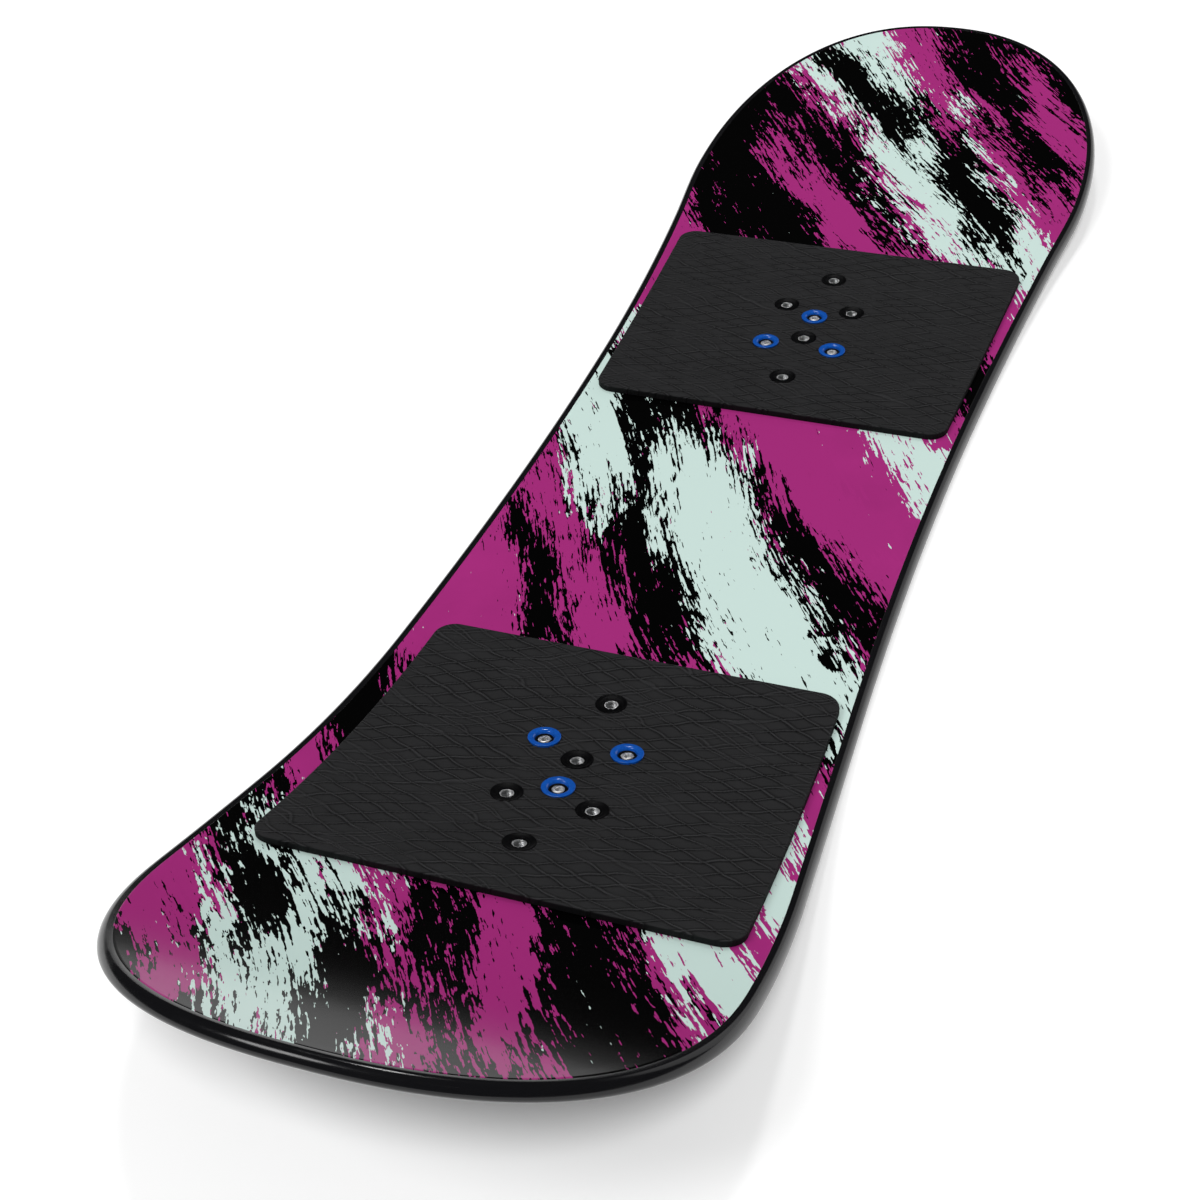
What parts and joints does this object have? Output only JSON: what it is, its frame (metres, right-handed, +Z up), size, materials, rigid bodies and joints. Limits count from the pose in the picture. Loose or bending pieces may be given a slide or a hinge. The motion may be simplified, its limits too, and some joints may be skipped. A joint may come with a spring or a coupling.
{
  "type": "snowboard",
  "caption": "Short layered snowboard with a raised nose and tail, a black side rim and two foot pads around threaded inserts.",
  "frame": {"origin": "middle of the board's length, on its centre line, on the floor under the running base", "axes": "+X to the nose, +Y to the left edge seen from above with the nose ahead, +Z up"},
  "size_m": [1.004, 0.247, 0.0913],
  "materials": {
    "base": "polished black running base",
    "laminate": "resin-soaked glass cloth",
    "core": "planed poplar",
    "spacer": "moulded filler",
    "topsheet": "glossy printed film",
    "rim": "smooth black side rim",
    "pad": "matt embossed foam rubber",
    "adhesive": "double-sided sheet",
    "cup": "satin black",
    "ring": "glossy blue",
    "insert": "turned stainless steel",
    "plug": "bright stainless steel"
  },
  "bodies": {
    "root": {"base_sheet": "base", "lower_laminate": "laminate", "wood_core": "core", "nose_spacer": "spacer", "tail_spacer": "spacer", "upper_laminate": "laminate", "topsheet": "topsheet", "rim": "rim", "front_pad": "pad", "rear_pad": "pad", "front_adhesive": "adhesive", "rear_adhesive": "adhesive", "front_cups": "cup", "rear_cups": "cup", "front_rings": "ring", "rear_rings": "ring", "front_inserts": "insert", "rear_inserts": "insert", "front_plugs": "plug", "rear_plugs": "plug"}
  },
  "joints": []
}
